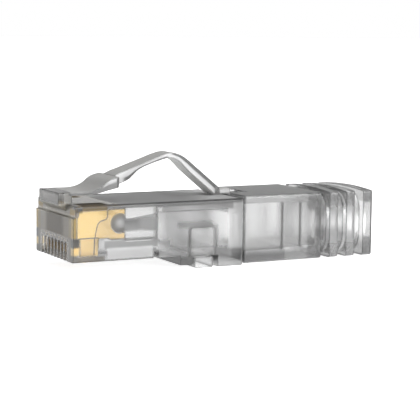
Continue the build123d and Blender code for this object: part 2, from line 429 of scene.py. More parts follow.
def patch(x=None, y=None, z=None, soft=0.15, soft_x=None):
    """A box with soft sides. Its ends along x have a softness of their own where soft_x is given."""
    sides = []
    for axis, limits, width in (("X", x, soft_x or soft), ("Y", y, soft), ("Z", z, soft)):
        if limits:
            low, high = limits
            sides.append(slope(axis, low - width / 2, low + width / 2))
            sides.append(slope(axis, high + width / 2, high - width / 2))
    return overlap(*sides)


def border(x, z, y, width, soft):
    """The front, rear and top border of a patch on the sides."""
    outer = patch((x[0] - width, x[1] + width), y, (z[0], z[1] + width), soft)
    inner = patch(x, y, z, soft)

    def mask(material, place):
        return calculate(material, "SUBTRACT", outer(material, place), inner(material, place))
    return mask


def disc(x, z, radius, soft):
    """A round spot, seen from the side."""
    def mask(material, place):
        distance = distance_from_line(material, place, scene_point(x, 0.0, z), "Y")
        return remap(material, distance, (radius + soft / 2) * MM, (radius - soft / 2) * MM, smooth=True)
    return mask


def facing(axis, start, end, both_ways=False, smooth=True):
    """Faces that look along an axis: 0 where that part of their normal is start, 1 where it is end."""
    def mask(material, place):
        part = component(material, face_normal(material), axis)
        if both_ways:
            part = calculate(material, "ABSOLUTE", part)
        return remap(material, part, start, end, smooth=smooth)
    return mask


FLAT_LIKENESS = 0.997
ROUND_LIKENESS = 0.965


def rounds(rounded):
    """The rounds of the moulded edges, where the rounded normal turns away from that of the face."""
    def mask(material, place):
        likeness = measure(material, "DOT_PRODUCT", rounded, face_normal(material))
        return remap(material, likeness, FLAT_LIKENESS, ROUND_LIKENESS)
    return mask


def section_band(start, end):
    """Goes from 0 to 1 between two levels of the latch's section, whose bottom is 0 and whose top is 1."""
    def mask(material, place):
        level = material.node_tree.nodes.new("ShaderNodeAttribute")
        level.attribute_name = SECTION_LEVEL
        return remap(material, level.outputs["Fac"], start, end, smooth=True)
    return mask


def latch_side(start, end, *bands):
    """The sides of the latch between two places along the plug, cut to any bands of its section."""
    return overlap(patch(x=(start, end), soft=LATCH_SIDE_SOFT), SIDE_FACES, *bands)


BORE_SKIN = (0.05, 0.02)


def bore_wall(material, place):
    """The inside of the round cable entry."""
    entry = next(mount for mount in frame["record"]["mounts"] if mount["name"] == "cable_entry")
    radius = entry["dims"]["r_mm"] * MM
    distance = distance_from_line(material, place, entry["pos_m"], "X")
    wall = remap(material, distance, radius + BORE_SKIN[0] * MM, radius + BORE_SKIN[1] * MM)
    front = BOOT_HIGH[0] - entry["dims"]["length_mm"]
    return calculate(material, "MULTIPLY", wall, slope("X", front - 0.2, front)(material, place))


# Limits that several finishes share: AHEAD is clear of the nose, and OUTSIDE is clear of the side walls
AHEAD = -1.0
OUTSIDE = 6.0
TOP_SKIN = (6.2, 6.9)
COMB_HEIGHT = (-0.3, 2.8)
BLADE_HEIGHT = (2.8, 5.3)
NOSE_FACE = (AHEAD, 0.4)
GUIDE_REAR = GUIDE_HIGH[0]
LATCH_SIDE_SOFT = 0.6
LEVEL_FACES = facing("Z", start=0.8, end=0.97, both_ways=True, smooth=False)
SIDE_FACES = facing("Y", start=0.6, end=0.8, both_ways=True)

# The rear of the housing, less polished than the nose
REAR_BODY = overlap(
    slope("X", GUIDE_REAR, GUIDE_REAR + 1.0),
    slope("X", GUIDE_REAR + 10.0, GUIDE_REAR + 5.0),
)
# The lowest part of the body, with the relief bar and the heel, painted darker as painted shade
LOW_BODY_SHADE = overlap(
    slope("Z", HOUSING_LOW[2] + 1.7, HOUSING_LOW[2] + 1.2),
    slope("X", GUIDE_REAR + 2.4, GUIDE_REAR + 2.6),
)
# The matt face from the top of the comb to the lip above the blades, which is rougher and painted dark
# warm brown as a painted glow of the gold behind it
UPPER_NOSE = overlap(
    slope("X", BLADE_LOW[0] - 0.05, BLADE_LOW[0] - 0.15),
    slope("Y", 5.8, 5.4),
    slope("Z", BLADE_LOW[2] + 2.0, BLADE_LOW[2] + 2.3),
    slope("Z", BLADE_HIGH[2] + 0.7, BLADE_HIGH[2] + 0.6),
)
# The block in which the latch is rooted
ROOT_BLOCK = overlap(
    slope("X", 1.2, 1.1),
    slope("Z", HOUSING_HIGH[2] - 2.2, HOUSING_HIGH[2] - 2.0),
)
# The top over the blades, painted a warm tint as a painted glow of their gold showing through
BLADE_WINDOW = overlap(
    slope("X", BLADE_LOW[0], BLADE_LOW[0] + 0.6),
    slope("X", BLADE_HIGH[0] - 1.0, BLADE_HIGH[0] - 1.6),
    slope("Y", 5.2, 4.2),
    slope("Z", BLADE_HIGH[2] + 0.3, BLADE_HIGH[2] + 0.6),
)
# The underside of the nose between the comb and the groove before the heel
POLISHED_UNDERSIDE = overlap(
    slope("X", BLADE_LOW[0] + 3.2, BLADE_LOW[0] + 3.4),
    slope("X", GUIDE_REAR - 0.1, GUIDE_REAR - 0.3),
    slope("Z", BLADE_LOW[2] - 0.35, BLADE_LOW[2] - 0.4),
)
# The foot of the boot, all round, painted darker as painted shade
LOW_BOOT_SHADE = slope("Z", BOOT_LOW[2] + 2.2, BOOT_LOW[2] + 1.2)
# The side wall beside the notch of the blades
NOTCH_WALL = patch(x=(4.0, 6.4), y=(5.4, OUTSIDE))

# A layer of a plastic: where it is, its tint, its roughness, and the share of light that it lets through
Finish = namedtuple("Finish", "mask tint roughness clarity")

HOUSING_ZONES = {
    "rear body": Finish(REAR_BODY, 0.5, 0.22, 0.86),
    # Painted shade: the lowest part of the body is painted dark
    "painted shade on low body": Finish(LOW_BODY_SHADE, 0.22, 0.3, 0.9),
    "bar pocket": Finish(patch(x=(15.4, 18.0), z=(0.3, 3.1), soft=0.5), 0.66, 0.22, 0.84),
    # Painted shade: the side of the heel is painted dark
    "painted shade on heel side": Finish(
        patch(x=(18.4, 22.1), z=(-1.4, 0.9), y=(5.0, OUTSIDE), soft=0.6), 0.2, 0.3, 0.95
    ),
    # Painted shade: a grey band on the ledge below the guide
    "painted shade on ledge below guide": Finish(patch(x=(3.7, 10.8), z=(1.38, 2.4), soft=0.3), 0.2, 0.3, 0.6),
    # Painted light: a bright strip low on the side, below the guide
    "painted light on lower side": Finish(
        patch(x=(4.2, 10.0), z=(0.2, 1.5), y=(5.6, OUTSIDE), soft=0.4), 0.85, 0.35, 0.78
    ),
    # Painted light: the wall at the rear of the housing is painted lighter, and is rougher
    "painted light on rear wall": Finish(patch(x=(20.0, 22.1), z=(0.6, 6.2), y=(5.2, OUTSIDE), soft=0.6), 0.8, 0.5, 0.8),
    # Painted shade: a dark band above the bar pocket
    "painted shade above pocket": Finish(
        patch(x=(13.2, 17.9), z=(3.35, 4.1), y=(4.5, OUTSIDE), soft=0.5), 0.28, 0.3, 0.95
    ),
    # Painted shade: a dark outline round the bar pocket
    "painted shade round pocket": Finish(
        border(x=(15.0, 18.2), z=(-0.5, 3.25), y=(4.5, OUTSIDE), width=0.38, soft=0.35), 0.3, 0.3, 0.95
    ),
    "relief bar": Finish(patch(x=(15.3, 17.7), z=(-1.8, -0.1), soft=0.3), 0.5, 0.2, 0.85),
    "room floor": Finish(
        patch(x=(10.7, 12.3), z=(0.9, 2.2), y=(4.8, OUTSIDE), soft=0.5), 0.65, 0.3, 0.95
    ),
    "guide rear": Finish(
        patch(x=(10.02, 10.6), z=(2.3, 6.1), y=(5.4, OUTSIDE), soft=0.1), 0.68, 0.2, 0.97
    ),
    "guide side": Finish(patch(x=(6.5, 10.0), z=(2.2, 6.2), y=(5.4, OUTSIDE)), 1.0, 0.1, 0.95),
    # Painted shade of each funnel behind the side wall, darker and rougher at the throat
    "painted shade in funnel throat": Finish(
        patch(x=(6.2, 10.6), z=(3.35, 4.75), y=(5.4, OUTSIDE), soft=0.4), 0.36, 0.5, 0.96
    ),
    # Painted shade, fainter, at the mouth of each funnel
    "fainter painted shade at funnel mouth": Finish(
        patch(x=(8.2, 10.4), z=(3.3, 4.9), y=(5.4, OUTSIDE), soft=0.9), 0.8, 0.4, 0.95
    ),
    # Painted shade: a dark band on the side just below the top edge
    "painted shade below top edge": Finish(
        patch(x=(11.2, 20.6), z=(5.45, 6.2), y=(5.2, OUTSIDE), soft=0.4), 0.42, 0.3, 0.93
    ),
    # Painted shade: a grey band over the tops of the blades
    "painted shade over blade tops": Finish(patch(x=(3.2, 6.5), z=(5.4, 6.1), y=(5.4, OUTSIDE), soft=0.3), 0.7, 0.2, 0.98),
    # Painted shade: a dark disc where the notch for the wire shows through the side wall
    "painted shade of wire notch": Finish(
        overlap(disc(x=5.75, z=4.43, radius=1.1, soft=0.15), NOTCH_WALL), (0.3, 0.3, 0.29), 0.5, 0.96
    ),
    "notch glint": Finish(
        overlap(disc(x=5.8, z=4.5, radius=0.45, soft=0.9), NOTCH_WALL), 0.95, 0.5, 0.88
    ),
    # Painted gold glow above the blades, under the top edge
    "painted gold glow above blades": Finish(
        patch(x=(0.3, 4.3), z=(5.9, 6.7), y=(5.0, OUTSIDE), soft=0.3), (0.18, 0.11, 0.02), 0.3, 0.82
    ),
    "comb foot": Finish(
        patch(x=(-0.3, 3.9), z=(-0.2, 0.7), y=(4.6, OUTSIDE), soft=0.3), (0.25, 0.22, 0.18), 0.3, 0.9
    ),
    # Painted gold glow: the upper nose is painted dark warm brown
    "upper nose": Finish(UPPER_NOSE, (0.09, 0.063, 0.032), 0.4, 0.88),
    "comb": Finish(
        patch(x=NOSE_FACE, z=COMB_HEIGHT, y=(0.0, 4.4), soft=0.3), (0.62, 0.58, 0.52), 0.2, 0.95
    ),
    "nose shade": Finish(
        patch(x=(AHEAD, 0.7), z=(2.6, 6.2), y=(2.7, 4.9), soft=1.4), (0.3, 0.27, 0.22), 0.35, 0.8
    ),
    # Painted gold glow: the nose edge is painted dim gold, its outer part brighter gold
    "nose edge": Finish(
        patch(x=NOSE_FACE, z=BLADE_HEIGHT, y=(4.4, OUTSIDE), soft=0.3), (0.3, 0.24, 0.12), 0.35, 0.85
    ),
    "painted gold glow at nose side": Finish(
        patch(x=NOSE_FACE, z=BLADE_HEIGHT, y=(5.2, OUTSIDE), soft=0.3), (0.62, 0.42, 0.1), 0.35, 0.77
    ),
    "comb end": Finish(
        patch(x=(AHEAD, 0.5), z=COMB_HEIGHT, y=(4.4, OUTSIDE), soft=0.3), (0.25, 0.23, 0.2), 0.35, 0.9
    ),
    # Painted gold glow of the toes of the blades at the nose
    "painted glow of blade toe": Finish(
        patch(x=(AHEAD, 0.7), z=(0.85, 1.7), y=(5.1, OUTSIDE), soft=0.25), (0.9, 0.68, 0.32), 0.35, 0.72
    ),
    # Painted shadow in the gap above the toes of the blades
    "painted shadow above toe": Finish(
        patch(x=(AHEAD, 0.75), z=(1.8, 2.75), y=(5.1, OUTSIDE), soft=0.2), 0.12, 0.3, 0.9
    ),
    "leg rear": Finish(patch(x=(3.0, 3.85), z=(1.2, 2.8), y=(5.4, OUTSIDE), soft=0.3), 0.55, 0.25, 0.95),
}
HOUSING_WINDOWS = {
    # Painted gold glow on the top over the blades
    "painted gold glow on blade window": Finish(BLADE_WINDOW, (0.44, 0.38, 0.27), 0.15, 0.85),
    # Painted shade with a gold cast on the top over the front of the blades
    "painted dark gold shade on top": Finish(
        patch(x=(0.4, 4.6), z=TOP_SKIN, y=(2.9, OUTSIDE), soft=0.6), (0.045, 0.03, 0.008), 0.7, 0.65
    ),
    # Painted light: the top at the rear is painted lighter, and is rougher and milkier
    "painted light on rear top": Finish(
        patch(x=(16.5, 27.0), z=TOP_SKIN, y=(0.0, 5.5), soft=0.6, soft_x=6.0), 0.62, 0.65, 0.45
    ),
    # Painted shade and light: the root block's front is painted dark and its side lighter
    "root block": Finish(ROOT_BLOCK, (0.14, 0.136, 0.128), 0.2, 0.9),
    "painted light on root block side": Finish(
        patch(x=(0.05, 1.2), z=(6.2, 8.0), y=(2.7, 3.4)), (0.32, 0.315, 0.3), 0.3, 0.8
    ),
    "underside": Finish(POLISHED_UNDERSIDE, 0.95, 0.1, 0.95),
    # Painted shade: a dark line along the bottom of the side wall
    "painted shade on lower edge": Finish(
        patch(x=(-0.3, 10.2), z=(-0.2, 0.16), y=(5.3, OUTSIDE)), (0.03, 0.028, 0.02), 0.3, 0.7
    ),
    # Painted shade: a dark line along the top of the side wall
    "painted shade on upper edge": Finish(patch(x=(4.2, 22.0), z=(6.22, 6.9), y=(5.0, 6.4), soft=0.5), 0.01, 0.4, 0.9),
}
HOUSING_TOUCHES = {
    "nose brow": Finish(
        patch(x=(AHEAD, 1.1), z=(5.5, 6.5), y=(0.0, 5.4), soft=0.3), (0.3, 0.28, 0.23), 0.3, 0.8
    ),
    "nose lip": Finish(patch(x=NOSE_FACE, z=(5.1, 5.5), y=(0.0, 5.6)), (0.6, 0.57, 0.5), 0.4, 0.6),
    # Painted gold glow at the corner of the nose
    "painted gold glow at corner": Finish(
        patch(x=(AHEAD, 0.5), z=(5.4, 6.2), y=(4.2, 5.8), soft=0.4), (0.34, 0.2, 0.02), 0.35, 0.82
    ),
}

FIRST_RIBS = (34.4, 38.2)
LAST_RIB = (39.4, 41.0)
BOOT_ZONES = {
    # Painted shade: the foot of the boot is painted darker
    "underside": Finish(LOW_BOOT_SHADE, 0.34, 0.25, 0.9),
    "bore": Finish(bore_wall, 0.78, 0.34, 0.82),
    "narrow chamber": Finish(patch(x=(28.0, 33.3)), 0.66, 0.2, 0.85),
    "chamber step": Finish(patch(x=(31.2, 33.3), soft=0.4), 0.42, 0.25, 0.92),
    "step glint": Finish(patch(x=(31.75, 32.3), z=(1.2, 4.6), soft=0.5), 1.0, 0.15, 0.85),
    # Painted shade: a dark band at the root of the ribs
    "painted shade at rib root": Finish(patch(x=(32.5, 33.3)), 0.25, 0.25, 0.92),
    # Painted shade: dark lines where the steps of the chambers show through
    "painted shade line at first step": Finish(
        patch(x=(27.35, 27.75), y=(5.2, OUTSIDE), z=(0.0, 5.8), soft=0.3), 0.15, 0.3, 0.85
    ),
    "painted shade line at second step": Finish(
        patch(x=(29.9, 30.3), y=(5.2, OUTSIDE), z=(0.2, 5.7), soft=0.3), 0.15, 0.3, 0.85
    ),
    "ribs": Finish(patch(x=(33.4, 38.9), z=(0.4, 4.9), soft=0.5), 0.74, 0.35, 0.9),
    # Painted shade on the front of the first rib
    "painted shade on first rib front": Finish(patch(x=(33.3, 34.1), z=(0.6, 6.0), soft=0.4), 0.4, 0.25, 0.92),
    # Painted shade on the crowns of the first ribs
    "painted shade on rib crowns": Finish(patch(x=FIRST_RIBS, z=(4.9, 7.0), soft=0.5), 0.48, 0.25, 0.88),
    "rib feet": Finish(patch(x=FIRST_RIBS, z=(-2.0, 0.4), soft=0.5), 0.66, 0.25, 0.85),
    # Painted shade on the crown of the rearmost rib
    "painted shade on last crown": Finish(patch(x=LAST_RIB, z=(5.3, 7.0), soft=0.5), 0.45, 0.25, 0.88),
    # Painted light: the middle of the rearmost rib is painted white
    "painted light on last rib": Finish(patch(x=LAST_RIB, z=(1.0, 5.2), soft=0.3), 1.0, 0.25, 0.8),
    # Painted shade on the foot of the rearmost rib
    "painted shade on last foot": Finish(patch(x=LAST_RIB, z=(-2.0, 0.9), soft=0.5), 0.45, 0.25, 0.88),
    # Painted shadow in the rearmost groove
    "painted shadow in last groove": Finish(patch(x=(40.35, 40.8), y=(5.2, OUTSIDE)), 0.12, 0.3, 0.9),
}

SHOULDER_END = 6.9
PAST_FOOT = 23.0
LATCH_ZONES = {
    # Painted light and shade: the latch's sides are milkier and painted lighter than its top
    "sides": Finish(latch_side(AHEAD, PAST_FOOT), 0.74, 0.3, 0.53),
    # Painted shade: the sides of the shoulder are painted darker
    "painted shade on shoulder side": Finish(latch_side(AHEAD, SHOULDER_END), 0.33, 0.3, 0.68),
    # Painted light: a lighter strip along the sides of the shoulder
    "painted light on shoulder edge": Finish(latch_side(5.0, SHOULDER_END, section_band(0.5, 0.7)), 0.66, 0.3, 0.55),
    # Painted shade: dark strips along the sides of the rear leg and of the beam
    "painted shade on rear leg edge": Finish(latch_side(14.6, 20.8, section_band(0.48, 0.64)), 0.16, 0.3, 0.82),
    "painted shade on beam edge": Finish(latch_side(8.2, 14.0, section_band(0.46, 0.3)), 0.14, 0.3, 0.82),
    # Painted shade: the end of the shoulder is painted dark
    "painted shade on shoulder end": Finish(patch(x=(6.68, 7.0), y=(2.6, 3.2), soft=0.1), 0.1, 0.3, 0.8),
    "foot": Finish(patch(x=(20.4, 21.4), z=(6.4, 7.6)), 0.35, 0.3, 0.85),
}
LATCH_WINDOWS = {
    # Painted shade and light: the latch's top is milkier and painted darker, its underside milkier and
    # painted lighter
    "top": Finish(facing("Z", 0.5, 0.8), (0.63, 0.625, 0.61), 0.4, 0.35),
    "underside": Finish(facing("Z", -0.3, -0.6), (0.78, 0.78, 0.77), 0.45, 0.25),
}


# Materials. Depths, thicknesses and half widths are in mm
FLOW_STRETCH = (0.35, 1.0, 1.0)
ROLLING_STRETCH = (0.15, 1.0, 1.0)
RIPPLE_DEPTH = 0.02
CLOUD_DEPTH = 0.01
ROLLING_DEPTH = 0.004
FUNNEL_SKIN = 0.02
# Painted shade: the recessed stepped faces of the blades are painted a darker gold
STEPPED_SHADE_GOLD = (0.86, 0.58, 0.16)
# Painted shade: the scored grooves of the blades are painted dark
SCORED_SHADE_GOLD = (0.05, 0.035, 0.015)
# Half the thickness of a blade where one of these tints begins, and where it is full
STEPPED_HALF = (0.16, 0.14)
SCORED_HALF = (0.125, 0.11)


def clear_plastic(name, haze_gain=1.0, ripple=0.12, milk_gain=1.0, edge_gain=1.0,
                  tint=None, level_shade_tint=None, zones=(), windows=(), touches=()):
    """Clear moulded polycarbonate with faint flow ripples, uneven haze and a grey depth.

    Zones lie under the painted shade of the level faces, windows over it, and touches over the painted
    shade of the edges. Many zones, windows and touches are painted shade and painted light.
    """
    plastic = bpy.context.scene.plug_plastic
    material, shader = new_material(name)
    links = material.node_tree.links
    place = object_place(material)
    streaks = noise(material, place, scale=260.0, detail=3.0, stretch=FLOW_STRETCH)
    bright = tint or plastic.clear_colour
    dim = [channel * 0.95 for channel in bright]
    colour = ramp(material, streaks, 0.3, 0.75, dim, bright)
    haze = plastic.haze * haze_gain
    roughness = remap(material, streaks, 0.0, 1.0, low=haze * 0.4, high=haze * 1.6)
    clarity = 1.0 - plastic.milkiness * milk_gain
    transmission = remap(material, streaks, 0.0, 1.0, low=clarity - 0.04, high=clarity + 0.04)
    rounded = soft_edges(material, plastic.soft_edge * edge_gain)
    layers = [
        *dict(zones).items(),
        # Painted shade: level faces are rougher and cloudier, and painted darker than the sides
        ("level faces", Finish(LEVEL_FACES, level_shade_tint or plastic.level_shade_colour, 0.3, 0.7)),
        *dict(windows).items(),
        # Painted shade: the rounds of every edge are painted dark
        ("edges", Finish(rounds(rounded), plastic.edge_shade_colour, 0.3, 0.35)),
        *dict(touches).items(),
    ]
    for label, layer in layers:
        mask = layer.mask(material, place)
        colour = mix(material, "RGBA", mask, colour, opaque(layer.tint), label)
        roughness = mix(material, "FLOAT", mask, roughness, layer.roughness, label)
        transmission = mix(material, "FLOAT", mask, transmission, layer.clarity, label)
    links.new(colour, shader.inputs["Base Color"])
    links.new(roughness, shader.inputs["Roughness"])
    links.new(transmission, shader.inputs["Transmission Weight"])
    ripples = bump(material, streaks, strength=ripple, distance=RIPPLE_DEPTH * MM, normal=rounded)
    links.new(ripples, shader.inputs["Normal"])
    shader.inputs["IOR"].default_value = plastic.refraction
    smoke = material.node_tree.nodes.new("ShaderNodeVolumeAbsorption")
    smoke.inputs["Color"].default_value = opaque(plastic.smoke_colour)
    smoke.inputs["Density"].default_value = plastic.smoke_density
    output = material.node_tree.get_output_node("ALL")
    links.new(smoke.outputs["Volume"], output.inputs["Volume"])
    return material


def milky_plastic(name):
    """Natural white moulded plastic, with painted shade in each funnel, darkest at its throat."""
    material, shader = new_material(name)
    links = material.node_tree.links
    place = object_place(material)
    cloud = noise(material, place, scale=500.0, detail=3.0)
    white = ramp(material, cloud, 0.3, 0.7, 0.95, 1.0)
    throat_to_mouth = slope("X", GUIDE_LOW[0], GUIDE_HIGH[0])(material, place)
    # Painted shade in each funnel, darkest at the throat
    grey = ramp(material, throat_to_mouth, 0.0, 0.9, 0.06, 0.4)
    funnel_shade = slope("Y", GUIDE_HIGH[1] - FUNNEL_SKIN / 2, GUIDE_HIGH[1] - FUNNEL_SKIN)(material, place)
    links.new(mix(material, "RGBA", funnel_shade, white, grey, "funnel_shade"), shader.inputs["Base Color"])
    links.new(remap(material, cloud, 0.0, 1.0, low=0.35, high=0.5), shader.inputs["Roughness"])
    links.new(bump(material, cloud, strength=0.1, distance=CLOUD_DEPTH * MM), shader.inputs["Normal"])
    return material


def plated_gold(name):
    """Stamped, gold-plated blades with fine rolling marks, with painted shade in their scored grooves and
    a darker painted gold on their recessed stepped faces.
    """
    metal = bpy.context.scene.plug_metal
    material, shader = new_material(name)
    links = material.node_tree.links
    place = object_place(material)
    grain = noise(material, place, scale=900.0, detail=4.0, stretch=ROLLING_STRETCH)
    red, green, blue = metal.gold_colour
    colour = ramp(material, grain, 0.3, 0.7, (red * 0.95, green * 0.9, blue * 0.8), metal.gold_colour)
    depth = blade_depth(material, place)
    stepped = remap(material, depth, STEPPED_HALF[0] * MM, STEPPED_HALF[1] * MM, smooth=True)
    # Painted shade: a darker gold on the recessed stepped faces
    colour = mix(material, "RGBA", stepped, colour, opaque(STEPPED_SHADE_GOLD), "painted shade on stepped part")
    grooves = remap(material, depth, SCORED_HALF[0] * MM, SCORED_HALF[1] * MM, smooth=True)
    scored = calculate(material, "MULTIPLY", grooves, SIDE_FACES(material, place))
    # Painted shade: the scored grooves are painted dark
    colour = mix(material, "RGBA", scored, colour, opaque(SCORED_SHADE_GOLD), "painted shade in scored lines")
    links.new(colour, shader.inputs["Base Color"])
    rough = metal.gold_roughness
    roughness = remap(material, grain, 0.0, 1.0, low=rough * 0.75, high=rough * 1.25)
    links.new(roughness, shader.inputs["Roughness"])
    links.new(bump(material, grain, strength=0.25, distance=ROLLING_DEPTH * MM), shader.inputs["Normal"])
    shader.inputs["Metallic"].default_value = 1.0
    return material


def blade_depth(material, place):
    """Distance from the middle plane of the nearest blade."""
    pitch = abs(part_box(BLADES[1])[0][1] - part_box(BLADES[0])[0][1])
    value = component(material, place, "Y")
    value = calculate(material, "ADD", value, 100 * pitch)
    value = calculate(material, "MODULO", value, pitch)
    value = calculate(material, "SUBTRACT", value, pitch / 2)
    return calculate(material, "ABSOLUTE", value)


def dress(node, material):
    piece = frame["nodes"][node]
    piece.data.materials.clear()
    piece.data.materials.append(material)


# The latch: stations along it, each with the top and bottom edge of its side view and its half width
WIDE, BEAM, TAIL, TONGUE = 3.01, 1.62, 1.4, 0.8
END_INSET, TIP_INSET = 0.08, 0.06
SHOULDER_STATIONS = [
    ((0.72, 7.74), (0.72, 7.48), WIDE),
    ((0.95, 7.82), (0.95, 7.41), WIDE),
    ((3.2, 7.84), (2.9, 7.43), WIDE),
    ((4.5, 8.22), (4.4, 7.58), WIDE),
    ((5.35, 8.85), (5.5, 7.83), WIDE),
    ((5.9, 9.15), (6.1, 7.96), WIDE),
    ((6.86, 9.4), (6.86, 8.12), WIDE),
    ((6.9, 9.36), (6.9, 8.16), WIDE - END_INSET),
]
BEAM_STATIONS = [
    ((6.91, 9.42), (6.93, 8.15), BEAM),
    ((7.6, 9.74), (7.6, 8.42), 1.61),
    ((8.7, 10.11), (8.85, 8.93), 1.59),
    ((9.8, 10.49), (10.1, 9.97), 1.56),
    ((11.2, 10.97), (11.45, 10.55), 1.53),
    ((13.3, 11.7), (13.6, 11.18), 1.45),
    ((14.5, 11.93), (14.5, 11.23), TAIL),
    ((15.3, 11.77), (15.05, 11.1), TAIL),
    ((16.0, 11.48), (15.6, 10.75), TAIL),
    ((16.75, 10.97), (16.4, 9.98), TAIL),
    ((17.6, 10.27), (17.0, 9.41), TAIL),
    ((20.6, 7.8), (20.0, 6.93), TAIL),
    ((21.0, 7.46), (20.38, 6.64), TAIL),
    ((21.06, 7.38), (20.44, 6.6), TAIL - END_INSET),
]
TONGUE_STATIONS = [
    ((21.07, 7.36), (20.46, 6.6), TONGUE),
    ((21.3, 7.25), (20.9, 6.6), TONGUE),
    ((22.65, 7.25), (22.65, 6.6), TONGUE),
    ((22.78, 7.18), (22.78, 6.66), TONGUE - TIP_INSET),
]
# Sections from one station to the next, and the cut corners of each section
STEPS_BETWEEN = 8
CORNER = 0.08
CORNER_STEPS = 1
MOST_CORNER = 0.45
SHARP_ANGLE = math.radians(30)


def catmull(before, start, end, after, part):
    return 0.5 * (
        2 * start
        + (end - before) * part
        + (2 * before - 5 * start + 4 * end - after) * part ** 2
        + (3 * start - before - 3 * end + after) * part ** 3
    )


def smooth_stations(stations):
    """Flat rows (top x, top z, bottom x, bottom z, half width) on a smooth curve through the stations."""
    rows = [(*top, *bottom, half) for top, bottom, half in stations]
    rows = [rows[0], *rows, rows[-1]]
    smooth = []
    for near in zip(rows, rows[1:], rows[2:], rows[3:]):
        for step in range(STEPS_BETWEEN):
            smooth.append([catmull(*numbers, step / STEPS_BETWEEN) for numbers in zip(*near)])
    smooth.append(rows[-1])
    return smooth


def ring(row):
    """One closed section of the latch, a rectangle with cut corners, and the level of each point in it."""
    top = Vector((row[0], 0, row[1]))
    bottom = Vector((row[2], 0, row[3]))
    half = row[4]
    up = (top - bottom) / 2
    tall = up.length
    up.normalize()
    middle = (top + bottom) / 2
    radius = min(CORNER, tall * MOST_CORNER, half * MOST_CORNER)
    points = []
    for quarter in range(4):
        side = 1 if quarter in (0, 3) else -1
        level = 1 if quarter in (0, 1) else -1
        for step in range(CORNER_STEPS + 1):
            angle = math.radians(90) * (quarter + step / CORNER_STEPS)
            across = side * (half - radius) + radius * math.cos(angle)
            raised = level * (tall - radius) + radius * math.sin(angle)
            point = middle + up * raised + Vector((0, across, 0))
            points.append((point, 0.5 + raised / (2 * tall)))
    return points


def latch_mesh():
    rows = []
    for stations in (SHOULDER_STATIONS, BEAM_STATIONS, TONGUE_STATIONS):
        rows += smooth_stations(stations)
    mesh = bpy.data.meshes.new("latch_moulding")
    shape = bmesh.new()
    level = shape.verts.layers.float.new(SECTION_LEVEL)
    rings = []
    for row in rows:
        corners = []
        for point, height in ring(row):
            corner = shape.verts.new(scene_point(*point))
            corner[level] = height
            corners.append(corner)
        rings.append(corners)
    for first, second in zip(rings, rings[1:]):
        for number in range(len(first)):
            after = (number + 1) % len(first)
            shape.faces.new((first[number], first[after], second[after], second[number]))
    shape.faces.new(rings[0][::-1])
    shape.faces.new(rings[-1])
    bmesh.ops.recalc_face_normals(shape, faces=shape.faces)
    shape.to_mesh(mesh)
    shape.free()
    mesh.shade_smooth()
    mesh.set_sharp_from_angle(angle=SHARP_ANGLE)
    return mesh


# One operator for each piece, or group of like pieces
class PLUG_OT_finish_housing(bpy.types.Operator):
    """Give the moulded housing its clear plastic"""

    bl_idname = "plug.finish_housing"
    bl_label = "Finish Housing"

    def execute(self, context):
        plastic = clear_plastic(
            "clear_housing",
            milk_gain=0.5,
            zones=HOUSING_ZONES,
            windows=HOUSING_WINDOWS,
            touches=HOUSING_TOUCHES,
        )
        dress("plug_housing", plastic)
        return {"FINISHED"}


class PLUG_OT_finish_guide(bpy.types.Operator):
    """Give the wire guide its milky plastic"""

    bl_idname = "plug.finish_guide"
    bl_label = "Finish Wire Guide"

    def execute(self, context):
        dress("wire_guide", milky_plastic("milky_guide"))
        return {"FINISHED"}


class PLUG_OT_finish_blades(bpy.types.Operator):
    """Plate the eight contact blades"""

    bl_idname = "plug.finish_blades"
    bl_label = "Finish Contact Blades"

    def execute(self, context):
        gold = plated_gold("plated_gold")
        for blade in BLADES:
            dress(blade, gold)
        return {"FINISHED"}


class PLUG_OT_finish_boot(bpy.types.Operator):
    """Give the ribbed boot its clear plastic with flow marks"""

    bl_idname = "plug.finish_boot"
    bl_label = "Finish Boot"

    def execute(self, context):
        plastic = clear_plastic(
            "clear_boot",
            haze_gain=1.4,
            ripple=0.3,
            tint=(0.83, 0.83, 0.83),
            zones=BOOT_ZONES,
        )
        dress("rear_boot", plastic)
        return {"FINISHED"}


class PLUG_OT_finish_latch(bpy.types.Operator):
    """Make the latch as one smooth moulding, arched along its length"""

    bl_idname = "plug.finish_latch"
    bl_label = "Finish Latch"

    def execute(self, context):
        latch = bpy.data.objects.new("latch_moulding", latch_mesh())
        context.scene.collection.objects.link(latch)
        plastic = clear_plastic(
            "clear_latch",
            haze_gain=2.0,
            ripple=0.25,
            milk_gain=2.2,
            edge_gain=0.5,
            tint=(0.85, 0.85, 0.85),
            # Painted shade: the latch's level faces are painted a darker grey
            level_shade_tint=(0.6, 0.6, 0.6),
            zones=LATCH_ZONES,
            windows=LATCH_WINDOWS,
        )
        latch.data.materials.append(plastic)
        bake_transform(latch)
        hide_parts("latch_arm", "latch_tail")
        return {"FINISHED"}


# The studio: places and sizes in metres, and heights of the room's light in degrees above the horizon
SOFTBOX_PLACE = (0.5, -0.9, 0.45)
SOFTBOX_WIDTH = 1.2
SOFTBOX_HEIGHT = 0.6
HORIZON_END = 4
WALL_START = 12
WALL_END = 52
CEILING_START = 60
TABLE_ROUGHNESS = 0.6
TABLE_SHINE = 0.1
SENSOR_WIDTH_MM = 36.0
NEAREST_VIEW = 0.01
FURTHEST_VIEW = 20.0


